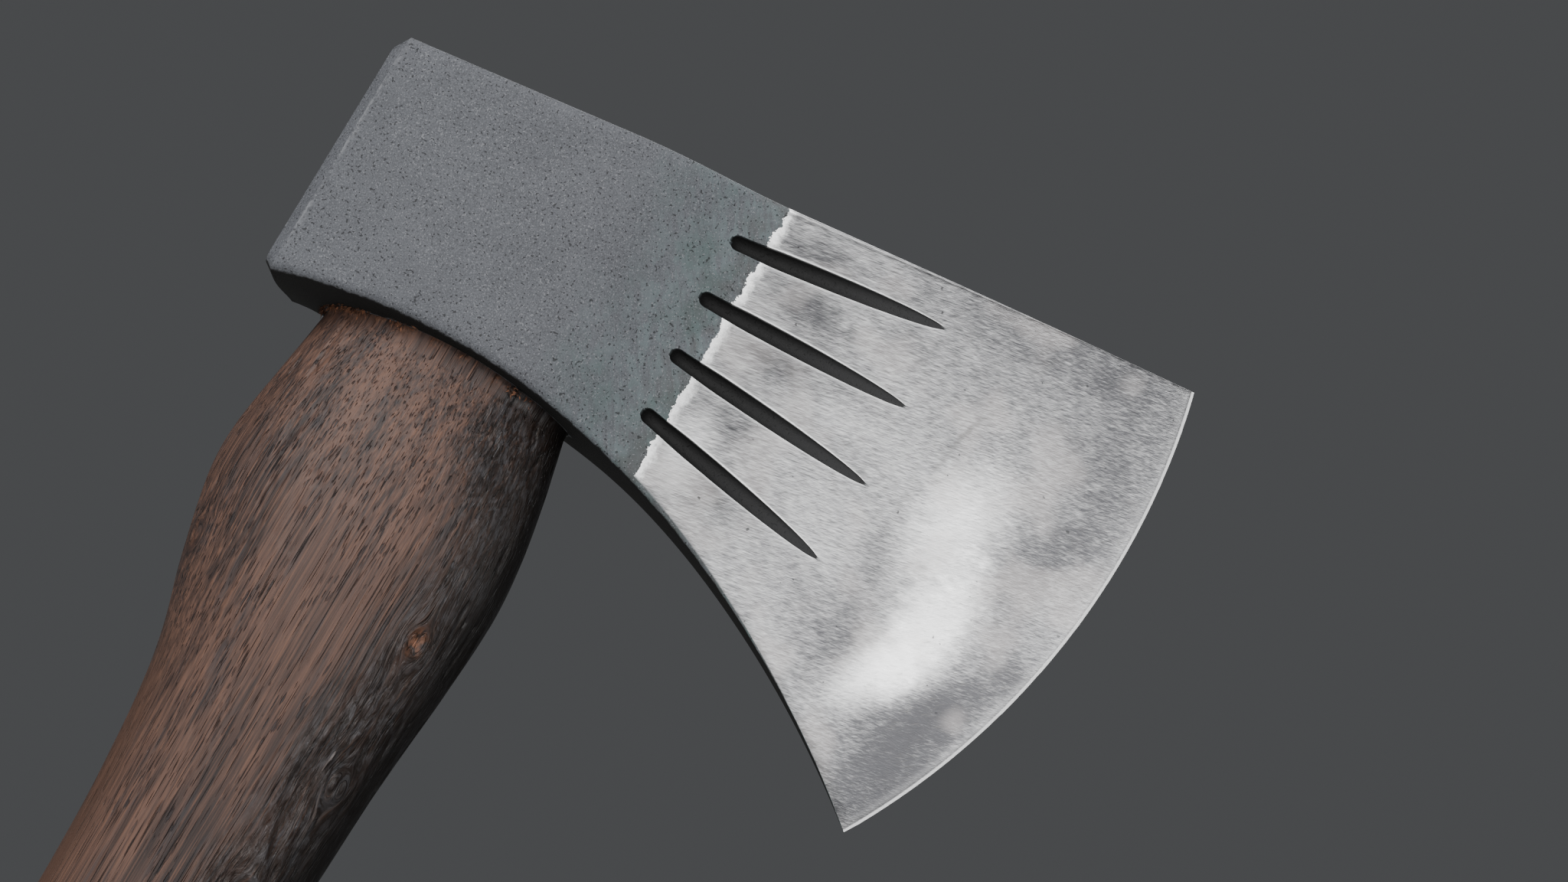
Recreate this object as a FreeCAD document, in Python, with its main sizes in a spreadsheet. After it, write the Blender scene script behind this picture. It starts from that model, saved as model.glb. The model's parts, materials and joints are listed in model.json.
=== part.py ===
# Carving hatchet: a forged head with a welded steel bit, wedged on a wooden haft.
# Every shape is drawn with the head's reference line at height 0, then lifted so that
# the grip's centre is the origin. X runs toward the cutting edge, Z up the haft.

import FreeCAD, Part
import math
import os
import Sketcher

Vector = FreeCAD.Vector
doc = FreeCAD.newDocument("hatchet")
dims = doc.addObject("Spreadsheet::Sheet", "Dims")

sizes = {
    "head_lift": 215,          # grip centre to the head's reference line
    "head_thick": 26,
    "poll_low_x": -30.2, "poll_low_z": -1.45,
    "poll_high_x": -30.2, "poll_high_z": 40.25,
    "toe_x": 99.2, "toe_z": 52.9,
    "heel_x": 85.8, "heel_z": -30.9,
    "beard_x": 48.8, "beard_z": -7.41,
    "arch_x": 0, "arch_z": 3.1,
    "edge_bow": 114, "beard_bow": 158, "neck_bow": 118.6, "poll_bow": 102.5,
    "poll_bevel": 1.75, "forged_round": 1.6,
    "cheek_end_x": 6.5, "cheek_end_y": 13.15,
    "waist_x": 22, "waist_y": 10.6,
    "grind_x": 36, "grind_y": 7.3,
    "grind_far_x": 112, "grind_far_y": 0.6,
    "cheek_bow": 49, "waist_bow": 64,
    "edge_centre_x": -11.9, "edge_centre_z": 27.8,
    "bevel_start_r": 44, "bevel_start_y": 7.9,
    "bevel_end_r": 113, "bevel_end_y": 0.45,
    "edge_land": 0.12, "bevel_bow": 1500,
    "weld_centre_x": 207.7, "weld_centre_z": -11.5,
    "weld_radius": 141, "cleft_root": 155, "cleft_half": 2.6, "cleft_tip": 0.3,
    "flute_fan_x": -62, "flute_fan_z": 25.2,
    "flute_start": 91.6, "flute_length": 35,
    "flute_start_radius": 1.15, "flute_end_radius": 1.8,
    "flute_start_y": 8.35, "flute_end_y": 6.05,
    "top_slope": 5.57, "haft_proud": 0.8, "top_mid_z": 43.2,
    "butt_bevel": 1.6,
    "kerf_mouth": 5, "kerf_foot": 1, "kerf_depth": 33, "kerf_length": 44,
    "steel_mouth": 3, "steel_foot": 0.6, "steel_depth": 22, "steel_width": 12,
    "steel_offset": 9,
    # cutters that reach well past the surfaces they trim
    "cutter_reach": 20, "cutter_length": 200, "cutter_radius": 118,
    "crown_long": 90, "crown_wide": 50, "crown_high": 20, "wedge_overrun": 6,
}

# each flute's direction from the fan's centre, in degrees above the X axis
nearFluteAngles = (7.7, 1.6, -4.4, -10.4)
farFluteAngles = (4.6, -1.4, -7.4)

# haft sections, butt to top: height, centre, half length, half thickness
haftRows = [
    ("butt", -317, -3.0, 18.9, 13.4),
    ("foot", -300, -2.6, 19.4, 13.8),
    ("heelgrip", -268, -1.3, 17.7, 12.9),
    ("grip", -215, 0.0, 16.9, 12.4),
    ("upgrip", -160, 2.2, 16.8, 12.4),
    ("throat", -110, 3.9, 17.3, 12.6),
    ("underswell", -75, 4.1, 18.3, 12.9),
    ("fade", -56, 3.4, 19.95, 13.4),
    ("lowswell", -42, 2.0, 22.6, 13.7),
    ("swell", -27, 0.8, 24.5, 13.4),
    ("shoulder", -10, 0.5, 22.5, 11.1),
    ("eyefoot", 0, 0.1, 20.6, 8.5),
    ("eyetop", 52, 0.0, 19.6, 7.9),
]
for rowName, height, centre, halfLength, halfThick in haftRows:
    sizes[rowName + "_level"] = height
    sizes[rowName + "_middle"] = centre
    sizes[rowName + "_long"] = halfLength
    sizes[rowName + "_wide"] = halfThick


def fillSheet():
    for index, (alias, value) in enumerate(sizes.items(), start=1):
        dims.set("A%d" % index, alias)
        dims.set("B%d" % index, str(value))
        dims.setAlias("B%d" % index, alias)
    doc.recompute()


def size(alias):
    return float(getattr(dims, alias))


def originPlane(body, role):
    for feature in body.Origin.OriginFeatures:
        if feature.Role == role:
            return feature
    raise ValueError("no plane " + role)


def newSketch(body, name, role, shiftX="", shiftY="", shiftZ=""):
    sketch = body.newObject("Sketcher::SketchObject", name)
    sketch.AttachmentSupport = [(originPlane(body, role), "")]
    sketch.MapMode = "FlatFace"
    for axis, cell in (("x", shiftX), ("y", shiftY), ("z", shiftZ)):
        if cell:
            sketch.setExpression("AttachmentOffset.Base." + axis, cell)
    doc.recompute()
    return sketch


def bowMiddle(start, end, radius):
    """Middle of the arc from start to end; a positive radius bows to the left of travel."""
    chord = end - start
    half = chord.Length / 2
    rise = abs(radius) - math.sqrt(radius * radius - half * half)
    left = Vector(-chord.y, chord.x, 0).normalize()
    return (start + end) * 0.5 + left * (rise if radius > 0 else -rise)


def sheetValue(expression):
    if expression.startswith("-Dims."):
        return -size(expression[6:])
    if expression.startswith("Dims."):
        return size(expression[5:])
    return float(expression)


def closedOutline(sketch, corners, bows):
    """corners: (x, y) expressions in order; bows: {segment: (radius expression, side)}."""
    points = [Vector(sheetValue(x), sheetValue(y), 0) for x, y in corners]
    ends = []
    for index, start in enumerate(points):
        end = points[(index + 1) % len(points)]
        if index in bows:
            radius, side = bows[index]
            middle = bowMiddle(start, end, side * sheetValue(radius))
            geometry = sketch.addGeometry(Part.Arc(start, middle, end), False)
            constraint = sketch.addConstraint(
                Sketcher.Constraint("Radius", geometry, sheetValue(radius)))
            sketch.setExpression("Constraints[%d]" % constraint, radius)
        else:
            geometry = sketch.addGeometry(Part.LineSegment(start, end), False)
        first = sketch.getPoint(geometry, 1)
        if first.distanceToPoint(start) < 1e-4:
            ends.append((geometry, 1, 2))
        else:
            ends.append((geometry, 2, 1))
    for index, (x, y) in enumerate(corners):
        geometry, startPos, endPos = ends[index]
        before, beforeStart, beforeEnd = ends[index - 1]
        sketch.addConstraint(
            Sketcher.Constraint("Coincident", before, beforeEnd, geometry, startPos))
        for kind, expression in (("DistanceX", x), ("DistanceY", y)):
            constraint = sketch.addConstraint(
                Sketcher.Constraint(kind, -1, 1, geometry, startPos, sheetValue(expression)))
            sketch.setExpression("Constraints[%d]" % constraint, expression)
    return sketch


def bindCells(thing, cells):
    for prop, expression in cells.items():
        thing.setExpression(prop, expression)


def combine(kind, name, base, tool):
    result = doc.addObject(kind, name)
    result.Base = base
    result.Tool = tool
    return result


def edgesWhere(shape, test):
    return ["Edge%d" % (number + 1) for number, edge in enumerate(shape.Edges) if test(edge)]


fillSheet()

# Head blank: side outline, poll bevel, forged rounding, neck and blade taper.

blank = doc.addObject("PartDesign::Body", "head_blank")
outline = newSketch(blank, "head_outline", "XZ_Plane")
closedOutline(outline, [
    ("Dims.poll_low_x", "Dims.poll_low_z"),
    ("Dims.poll_high_x", "Dims.poll_high_z"),
    ("Dims.toe_x", "Dims.toe_z"),
    ("Dims.heel_x", "Dims.heel_z"),
    ("Dims.beard_x", "Dims.beard_z"),
    ("Dims.arch_x", "Dims.arch_z"),
], {
    2: ("Dims.edge_bow", 1),
    3: ("Dims.beard_bow", -1),
    4: ("Dims.neck_bow", -1),
    5: ("Dims.poll_bow", -1),
})
pad = blank.newObject("PartDesign::Pad", "head_pad")
pad.Profile = outline
pad.Midplane = True
pad.setExpression("Length", "Dims.head_thick")
doc.recompute()

pollX = size("poll_low_x")
halfThick = size("head_thick") / 2


def onPollFace(edge):
    box = edge.BoundBox
    return abs(box.XMin - pollX) < 1e-3 and abs(box.XMax - pollX) < 1e-3


bevel = blank.newObject("PartDesign::Chamfer", "poll_bevel")
bevel.Base = (pad, edgesWhere(pad.Shape, onPollFace))
bevel.setExpression("Size", "Dims.poll_bevel")
doc.recompute()


def onCheekRim(edge):
    box = edge.BoundBox
    flat = abs(abs(box.YMin) - halfThick) < 1e-3 and abs(box.YMax - box.YMin) < 1e-3
    return flat and box.XMax - box.XMin > 5 and box.XMin < size("beard_x") - 1


rounding = blank.newObject("PartDesign::Fillet", "forged_rounding")
rounding.Base = (bevel, edgesWhere(bevel.Shape, onCheekRim))
rounding.setExpression("Radius", "Dims.forged_round")
doc.recompute()

for side, sign in (("near", "-Dims."), ("far", "Dims.")):
    taper = newSketch(blank, side + "_taper_outline", "XY_Plane")
    turn = -1 if side == "near" else 1
    outer = sign + "cutter_reach"
    closedOutline(taper, [
        ("Dims.cheek_end_x", sign + "cheek_end_y"),
        ("Dims.waist_x", sign + "waist_y"),
        ("Dims.grind_x", sign + "grind_y"),
        ("Dims.grind_far_x", sign + "grind_far_y"),
        ("Dims.grind_far_x", outer),
        ("Dims.cheek_end_x", outer),
    ], {
        0: ("Dims.cheek_bow", turn),
        1: ("Dims.waist_bow", -turn),
    })
    cut = blank.newObject("PartDesign::Pocket", side + "_taper")
    cut.Profile = taper
    cut.Midplane = True
    cut.Type = "Length"
    cut.setExpression("Length", "Dims.cutter_length")
    doc.recompute()

for side, sign in (("near", "-Dims."), ("far", "Dims.")):
    profile = newSketch(blank, side + "_bevel_profile", "XY_Plane",
                        "Dims.edge_centre_x", "", "Dims.edge_centre_z")
    turn = -1 if side == "near" else 1
    outer = sign + "cutter_reach"
    closedOutline(profile, [
        ("Dims.bevel_start_r", sign + "bevel_start_y"),
        ("Dims.bevel_end_r", sign + "bevel_end_y"),
        ("Dims.edge_bow", sign + "edge_land"),
        ("Dims.cutter_radius", sign + "edge_land"),
        ("Dims.cutter_radius", outer),
        ("Dims.bevel_start_r", outer),
    ], {
        0: ("Dims.bevel_bow", turn),
    })
    grind = blank.newObject("PartDesign::Groove", side + "_bevel")
    grind.Profile = profile
    grind.ReferenceAxis = (profile, ["V_Axis"])
    grind.Angle = 360
    doc.recompute()

# Haft form: ellipses lofted from the butt up through the eye.

sections = []
for rowName, height, centre, halfLength, halfWide in haftRows:
    ring = doc.addObject("Part::Ellipse", rowName + "_ring")
    bindCells(ring, {
        "MajorRadius": "Dims.%s_long" % rowName,
        "MinorRadius": "Dims.%s_wide" % rowName,
        "Placement.Base.x": "Dims.%s_middle" % rowName,
        "Placement.Base.z": "Dims.%s_level" % rowName,
    })
    sections.append(ring)
handleForm = doc.addObject("Part::Loft", "handle_form")
handleForm.Sections = sections[:-1]
handleForm.Solid = True
tenonForm = doc.addObject("Part::Loft", "tenon_form")
tenonForm.Sections = sections[-2:]
tenonForm.Solid = True
haftForm = doc.addObject("Part::MultiFuse", "haft_form")
haftForm.Shapes = [handleForm, tenonForm]
doc.recompute()

# Eye, flutes and the cleft for the steel bit.

eyed = combine("Part::Cut", "head_eyed", blank, haftForm)
doc.recompute()


def fluteCutter(name, side, fanDegrees):
    """Round-ended tapered cutter lying in one cheek, rising out of it toward the edge."""
    fan = math.radians(fanDegrees)
    outward = Vector(math.cos(fan), 0, math.sin(fan))
    centre = Vector(size("flute_fan_x"), 0, size("flute_fan_z"))
    start = centre + outward * size("flute_start")
    start.y = side * size("flute_start_y")
    tip = centre + outward * (size("flute_start") + size("flute_length"))
    tip.y = side * size("flute_end_y")
    turn = FreeCAD.Rotation(Vector(0, 0, 1), tip - start)
    cone = doc.addObject("Part::Cone", name + "_taper")
    bindCells(cone, {
        "Radius1": "Dims.flute_start_radius",
        "Radius2": "Dims.flute_end_radius",
        "Height": "Dims.flute_length",
    })
    cone.Placement = FreeCAD.Placement(start, turn)
    ball = doc.addObject("Part::Sphere", name + "_start")
    bindCells(ball, {"Radius": "Dims.flute_start_radius"})
    ball.Placement = FreeCAD.Placement(start, turn)
    return [cone, ball]


cutters = []
for number, fanDegrees in enumerate(nearFluteAngles, start=1):
    cutters += fluteCutter("near_flute_%d" % number, -1, fanDegrees)
for number, fanDegrees in enumerate(farFluteAngles, start=1):
    cutters += fluteCutter("far_flute_%d" % number, 1, fanDegrees)
flutes = doc.addObject("Part::MultiFuse", "flute_cutters")
flutes.Shapes = cutters
fluted = combine("Part::Cut", "head_fluted", eyed, flutes)
doc.recompute()

bitBody = doc.addObject("PartDesign::Body", "bit_form")
bitProfile = newSketch(bitBody, "bit_profile", "XY_Plane",
                       "Dims.weld_centre_x", "", "Dims.weld_centre_z")
closedOutline(bitProfile, [
    ("0", "-Dims.cutter_reach"),
    ("Dims.weld_radius", "-Dims.cutter_reach"),
    ("Dims.weld_radius", "-Dims.cleft_half"),
    ("Dims.cleft_root", "-Dims.cleft_tip"),
    ("Dims.cleft_root", "Dims.cleft_tip"),
    ("Dims.weld_radius", "Dims.cleft_half"),
    ("Dims.weld_radius", "Dims.cutter_reach"),
    ("0", "Dims.cutter_reach"),
], {})
turned = bitBody.newObject("PartDesign::Revolution", "bit_turned")
turned.Profile = bitProfile
turned.ReferenceAxis = (bitProfile, ["V_Axis"])
turned.Angle = 360
doc.recompute()

headBody = combine("Part::Cut", "head_body", fluted, bitBody)
cuttingBit = combine("Part::Common", "cutting_bit", fluted, bitBody)
doc.recompute()

# Haft, its kerf wedge and two steel cross wedges.

slope = math.radians(size("top_slope"))
crown = doc.addObject("Part::Box", "crown_cutter")
bindCells(crown, {
    "Length": "Dims.crown_long",
    "Width": "Dims.crown_wide",
    "Height": "Dims.crown_high",
})
halfLong = size("crown_long") / 2
crown.Placement = FreeCAD.Placement(
    Vector(-halfLong * math.cos(slope), -size("crown_wide") / 2,
           size("top_mid_z") + size("haft_proud") - halfLong * math.sin(slope)),
    FreeCAD.Rotation(Vector(0, 1, 0), -size("top_slope")))
trimmed = combine("Part::Cut", "haft_trimmed", haftForm, crown)
doc.recompute()

beveled = doc.addObject("Part::Chamfer", "haft_beveled")
beveled.Base = trimmed
buttLevel = size("butt_level")
bevelEdges = []
for number, edge in enumerate(trimmed.Shape.Edges, start=1):
    if all(abs(vertex.Z - buttLevel) < 1e-3 for vertex in edge.Vertexes):
        bevelEdges.append((number, size("butt_bevel"), size("butt_bevel")))
beveled.Edges = bevelEdges
doc.recompute()


def wedgeForm(name, plane, middle, mouth, foot, depth, width):
    """Trapezoid narrowing downward, as wide as the given width across its plane."""
    body = doc.addObject("PartDesign::Body", name + "_form")
    top = size("top_mid_z") + size("wedge_overrun")
    bottom = size("top_mid_z") - size(depth)
    sketch = newSketch(body, name + "_profile", plane)
    halfMouth = size(mouth) / 2 * (top - bottom) / size(depth)
    closedOutline(sketch, [
        (str(middle - size(foot) / 2), str(bottom)),
        (str(middle + size(foot) / 2), str(bottom)),
        (str(middle + halfMouth), str(top)),
        (str(middle - halfMouth), str(top)),
    ], {})
    slab = body.newObject("PartDesign::Pad", name + "_pad")
    slab.Profile = sketch
    slab.Midplane = True
    slab.setExpression("Length", "Dims." + width)
    doc.recompute()
    return body


kerfForm = wedgeForm("kerf", "YZ_Plane", 0, "kerf_mouth", "kerf_foot", "kerf_depth", "kerf_length")
offset = size("steel_offset")
steelForms = {
    "steel_wedge_front": wedgeForm("steel_front", "XZ_Plane", offset,
                                   "steel_mouth", "steel_foot", "steel_depth", "steel_width"),
    "steel_wedge_rear": wedgeForm("steel_rear", "XZ_Plane", -offset,
                                  "steel_mouth", "steel_foot", "steel_depth", "steel_width"),
}
steelPair = doc.addObject("Part::MultiFuse", "steel_pair")
steelPair.Shapes = list(steelForms.values())
kerfInHaft = combine("Part::Common", "kerf_in_haft", kerfForm, beveled)
kerfWedge = combine("Part::Cut", "kerf_wedge", kerfInHaft, steelPair)
haftSawn = combine("Part::Cut", "haft_sawn", beveled, kerfForm)
haft = combine("Part::Cut", "haft", haftSawn, steelPair)
parts = [headBody, cuttingBit, haft, kerfWedge]
for name, form in steelForms.items():
    parts.append(combine("Part::Cut", name, form, crown))
doc.recompute()

# Placement, checks and export.

for part in parts:
    part.Label = part.Name
    part.setExpression("Placement.Base.z", "Dims.head_lift")
doc.recompute()
for thing in doc.Objects:
    bad = [word for word in thing.State if word in ("Invalid", "Error")]
    if bad:
        raise RuntimeError("%s did not build: %s" % (thing.Name, bad))
os.makedirs("parts", exist_ok=True)
for part in parts:
    shape = part.Shape
    if shape.isNull() or not shape.isValid() or len(shape.Solids) != 1:
        raise RuntimeError("%s is not one valid solid" % part.Label)
    shape.exportStep("parts/%s.step" % part.Label)
    box = shape.optimalBoundingBox()
    print("%-18s %9.1f mm3  X %.1f..%.1f  Y %.1f..%.1f  Z %.1f..%.1f" % (
        part.Label, shape.Volume, box.XMin, box.XMax, box.YMin, box.YMax, box.ZMin, box.ZMax))
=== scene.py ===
import json
import math
from functools import partialmethod

import bmesh
import bpy
import numpy as np
from mathutils import Euler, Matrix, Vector


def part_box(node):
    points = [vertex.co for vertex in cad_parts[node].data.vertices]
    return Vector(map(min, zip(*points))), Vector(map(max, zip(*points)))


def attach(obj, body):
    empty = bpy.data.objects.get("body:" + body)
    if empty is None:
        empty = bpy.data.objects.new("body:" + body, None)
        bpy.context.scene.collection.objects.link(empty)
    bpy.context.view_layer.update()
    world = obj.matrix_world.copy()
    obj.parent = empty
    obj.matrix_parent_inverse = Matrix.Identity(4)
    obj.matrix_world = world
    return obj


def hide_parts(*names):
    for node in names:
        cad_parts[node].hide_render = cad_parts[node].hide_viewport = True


mm = 0.001
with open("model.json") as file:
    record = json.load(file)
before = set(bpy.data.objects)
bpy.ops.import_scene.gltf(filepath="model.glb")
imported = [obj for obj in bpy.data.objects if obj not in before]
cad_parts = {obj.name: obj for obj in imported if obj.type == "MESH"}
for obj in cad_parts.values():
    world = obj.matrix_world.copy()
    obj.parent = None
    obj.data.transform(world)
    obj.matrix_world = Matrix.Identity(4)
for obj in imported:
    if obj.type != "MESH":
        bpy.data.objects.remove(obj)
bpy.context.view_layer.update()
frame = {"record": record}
mounts = {mount["name"]: mount for mount in frame["record"]["mounts"]}

# Every size below is in mm. The head's own heights count from headZero, the haft's eye level.
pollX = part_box("head_body")[0].x / mm
pollFaceHeight = 20
headZero = mounts["poll_face"]["pos_m"][2] / mm - pollFaceHeight
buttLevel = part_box("haft")[0].z / mm - headZero
print("frame loaded, head level", round(headZero, 2), "butt", round(buttLevel, 2))

lattice = np.random.default_rng(11).random((48, 48, 48))


def noise(points, size, seed=0):  # smooth values from -1 to 1, one cell per size
    p = points / np.asarray(size, float) + seed * 5.37
    cell = np.floor(p).astype(int)
    f = p - cell
    f = f * f * (3 - 2 * f)
    total = 0
    for corner in range(8):
        step = np.array([corner & 1, corner >> 1 & 1, corner >> 2])
        index = (cell + step) % 48
        weight = np.where(step, f, 1 - f).prod(-1)
        total = total + weight * lattice[index[..., 0], index[..., 1], index[..., 2]]
    return total * 2 - 1


def cloud(points, size, octaves=3, seed=0):
    size = np.asarray(size, float)
    total, weight, whole = 0, 1.0, 0
    for octave in range(octaves):
        total = total + weight * noise(points, size / 2 ** octave, seed + octave)
        whole += weight
        weight /= 2
    return total / whole


def rise(value, low, high):  # smooth 0 to 1 between low and high
    f = np.clip((value - low) / (high - low), 0, 1)
    return f * f * (3 - 2 * f)


def addObject(name, data):
    thing = bpy.data.objects.new(name, data)
    bpy.context.scene.collection.objects.link(thing)
    return thing


def makeMesh(name, points, faces, finish, layers=None, crease=40):
    mesh = bpy.data.meshes.new(name)
    mesh.from_pydata((np.asarray(points) * mm).tolist(), [], [list(map(int, f)) for f in faces])
    for layer, values in (layers or {}).items():
        values = np.asarray(values, np.float32)
        kind, key = ("FLOAT", "value") if values.ndim == 1 else ("FLOAT_VECTOR", "vector")
        mesh.attributes.new(layer, kind, "POINT").data.foreach_set(key, values.ravel())
    thing = addObject(name, mesh)
    tidyMesh(thing, crease)
    thing.data.materials.append(finish.material)
    return thing


def tidyMesh(thing, crease=40):  # edges sharper than crease degrees stay sharp
    form = bmesh.new()
    form.from_mesh(thing.data)
    bmesh.ops.remove_doubles(form, verts=form.verts, dist=0.002 * mm)
    bmesh.ops.recalc_face_normals(form, faces=form.faces)
    limit = math.radians(crease)
    ring = form.verts.layers.float.get("ring")
    for edge in form.edges:
        kept = ring and all(vert[ring] > 0.5 for vert in edge.verts)
        edge.smooth = len(edge.link_faces) == 2 and edge.calc_face_angle(0) < limit and not kept
    for face in form.faces:
        face.smooth = True
    form.to_mesh(thing.data)
    form.free()


def tubeFaces(rings, columns):  # quads between neighbouring rings of points
    index = np.arange(rings * columns).reshape(rings, columns)
    a, b = index[:-1], index[1:]
    return np.stack([a, np.roll(a, -1, 1), np.roll(b, -1, 1), b], -1).reshape(-1, 4).tolist()


def shrunk(ring, share):  # a ring drawn in toward its own middle
    middle = ring.mean(0)
    return middle + (ring - middle) * share


def carve(thing, cutter):
    trim = thing.modifiers.new("carve", "BOOLEAN")
    trim.operation = "DIFFERENCE"
    trim.solver = "EXACT"
    trim.object = cutter
    bpy.context.view_layer.update()
    done = bpy.data.meshes.new_from_object(
        thing.evaluated_get(bpy.context.evaluated_depsgraph_get()))
    thing.modifiers.clear()
    thing.data = done


# Finishes

class Level:  # a node's output that takes part in arithmetic
    def __init__(self, finish, socket):
        self.finish, self.socket = finish, socket

    def calc(self, operation, *others):
        values = {0: self, **dict(enumerate(others, 1))}
        return self.finish.node("Math", {"operation": operation}, values)

    def __rsub__(self, other):
        return self.finish.node("Math", {"operation": "SUBTRACT"}, {0: other, 1: self})

    __add__ = __radd__ = partialmethod(calc, "ADD")
    __sub__ = partialmethod(calc, "SUBTRACT")
    __mul__ = __rmul__ = partialmethod(calc, "MULTIPLY")
    __truediv__ = partialmethod(calc, "DIVIDE")
    __pow__ = partialmethod(calc, "POWER")
    top = partialmethod(calc, "MAXIMUM")
    size = partialmethod(calc, "ABSOLUTE")

    def span(self, low, high):  # 0 at low, 1 at high
        return self.finish.node("MapRange", {"interpolation_type": "SMOOTHSTEP"},
                                {0: self, 1: low, 2: high})


class Finish:
    def __init__(self, name, look=None, **fixed):
        self.look = look
        self.material = bpy.data.materials.new(name)
        self.material.use_nodes = True
        self.tree = self.material.node_tree
        self.shader = self.tree.nodes["Principled BSDF"]
        for socket, value in fixed.items():
            self.shader.inputs[socket.replace("_", " ")].default_value = value
        self.place = self.node("VectorMath", {"operation": "SCALE"}, {
            0: self.node("TexCoord", out="Object"), "Scale": 1 / mm})

    def node(self, kind, settings=None, inputs=None, out=0):
        made = self.tree.nodes.new("ShaderNode" + kind)
        for key, value in (settings or {}).items():
            setattr(made, key, value)
        for key, value in (inputs or {}).items():
            if isinstance(value, Level):
                self.tree.links.new(value.socket, made.inputs[key])
            elif isinstance(value, tuple) and made.inputs[key].type == "RGBA":
                made.inputs[key].default_value = (*value, 1)
            else:
                made.inputs[key].default_value = value
        return Level(self, made.outputs[out])

    def grain(self, size, detail=2.0, rough=0.5, shift=0.0, turn=None, warp=0.0, place=None):
        # gives about 0.5, in cells of size mm
        place, size = place or self.place, size if isinstance(size, tuple) else (size,) * 3
        if turn:
            place = self.node("Mapping", {"vector_type": "TEXTURE"},
                              {"Vector": place, "Rotation": turn})
        scaled = self.node("VectorMath", {"operation": "MULTIPLY_ADD"}, {
            0: place, 1: tuple(1 / s for s in size), 2: (shift, shift * 1.7, shift * 0.6)})
        return self.node("TexNoise", {}, {
            "Vector": scaled, "Scale": 1.0, "Detail": detail, "Roughness": rough, "Distortion": warp})

    def blend(self, amount, low, high):
        return self.node("Mix", {"data_type": "RGBA", "clamp_factor": True},
                         {0: amount, 6: low, 7: high}, out=2)

    def coat(self, base, **coats):  # lays the look's named colours over a base, each by its amount
        base = self.look[base] if isinstance(base, str) else base
        for name, amount in coats.items():
            base = self.blend(amount, base, self.look[name])
        return base

    def layer(self, name):
        return self.node("Attribute", {"attribute_name": name}, out="Fac")

    def axis(self, letter):
        return self.node("SeparateXYZ", {}, {0: self.place}, out=letter)

    def feed(self, **values):
        for socket, value in values.items():
            self.tree.links.new(value.socket, self.shader.inputs[socket.replace("_", " ")])

    def relief(self, height, depth, below=None):  # height 0 to 1 becomes depth mm of bump
        inputs = {"Height": height, "Strength": 1.0, "Distance": depth * mm}
        if below:
            inputs["Normal"] = below
        return self.node("Bump", {}, inputs)


# Head: shape

head = {
    "topLevel": 43.2, "topRise": 0.0975,
    "archLevel": 3.1, "pollArch": 102.5, "neckArch": 118.6, "beardX": 48.8, "beardArch": 158.0,
    "edgeCentre": (-11.9, 27.8), "edgeRadius": 113.9, "edgeHalf": 0.03,
    "microWidth": 0.45, "microHalf": 0.16, "belly": 1.3, "crease": 32,
    "weldCentre": (207.7, -11.5), "weldRadius": 141.0, "cleft": 13.0,
    "cheekHalf": 13.0, "cheekEnd": 8.0, "waist": (22.0, 10.6), "grind": (36.0, 7.3), "bulge": 0.45,
    "pollBevel": 1.75, "forgedRound": 1.6, "polishX": 33.3, "midX": 34.0, "acrossSteps": 16,
    "fan": (-62.0, 25.2), "fluteHalf": 1.42, "fluteStart": 1.2, "fluteDepth": 1.55,
    "eyeFoot": (0.1, 20.6, 8.5), "eyeTop": (0.0, 19.6, 7.9), "eyeHeight": 52.0,
}
# flutes: fan angle in degrees, start and tip distance from the fan's centre
nearFlutes = [(-10.4, 93.2, 126.9), (-4.4, 91.2, 125.9), (1.6, 90.5, 125.1), (7.7, 91.1, 125.4)]
farFlutes = [(-7.4, 91.4, 126.0), (-1.4, 91.0, 125.4), (4.6, 90.9, 125.6)]


def topLine(x):
    return head["topLevel"] + head["topRise"] * x


def sag(radius, x):  # how far an arc has fallen at x from its crown
    return radius - np.sqrt(radius ** 2 - x ** 2)


def underLine(x):
    poll = sag(head["pollArch"], np.minimum(x, 0))
    neck = sag(head["neckArch"], np.clip(x, 0, head["beardX"]))
    lean = math.asin(head["beardX"] / head["neckArch"])
    centre = head["beardX"] - head["beardArch"] * math.sin(lean)
    past = np.maximum(x, head["beardX"]) - centre
    beard = head["beardArch"] * math.cos(lean) - np.sqrt(head["beardArch"] ** 2 - past ** 2)
    return head["archLevel"] - poll - neck - beard


def edgeX(z):
    centreX, centreZ = head["edgeCentre"]
    return centreX + np.sqrt(head["edgeRadius"] ** 2 - (z - centreZ) ** 2)


def cubic(f, start, end, startSlope, endSlope):  # from start to end as f goes from 0 to 1
    return ((2 * f ** 3 - 3 * f ** 2 + 1) * start + (f ** 3 - 2 * f ** 2 + f) * startSlope
            + (3 * f ** 2 - 2 * f ** 3) * end + (f ** 3 - f ** 2) * endSlope)


def hermite(x, start, end, startSlope, endSlope):
    run = end[0] - start[0]
    f = np.clip((x - start[0]) / run, 0, 1)
    return cubic(f, start[1], end[1], run * startSlope, run * endSlope)


def headHalf(x, z):  # half thickness of the head
    waist, grind = head["waist"], head["grind"]
    neck = np.where(x < waist[0],
                    hermite(x, (head["cheekEnd"], head["cheekHalf"]), waist, 0, -0.33),
                    hermite(x, waist, grind, -0.33, -0.1))
    f = np.clip((x - grind[0]) / (edgeX(z) - grind[0]), 0, 1)
    blade = grind[1] * (1 - f) + head["microHalf"] * f + 4 * head["bulge"] * f * (1 - f)
    centreX, centreZ = head["edgeCentre"]
    inside = head["edgeRadius"] - np.hypot(x - centreX, z - centreZ)
    micro = head["edgeHalf"] + np.maximum(inside, 0) * head["microHalf"] / head["microWidth"]
    return np.minimum(np.where(x < grind[0], neck, blade), micro)


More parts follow.
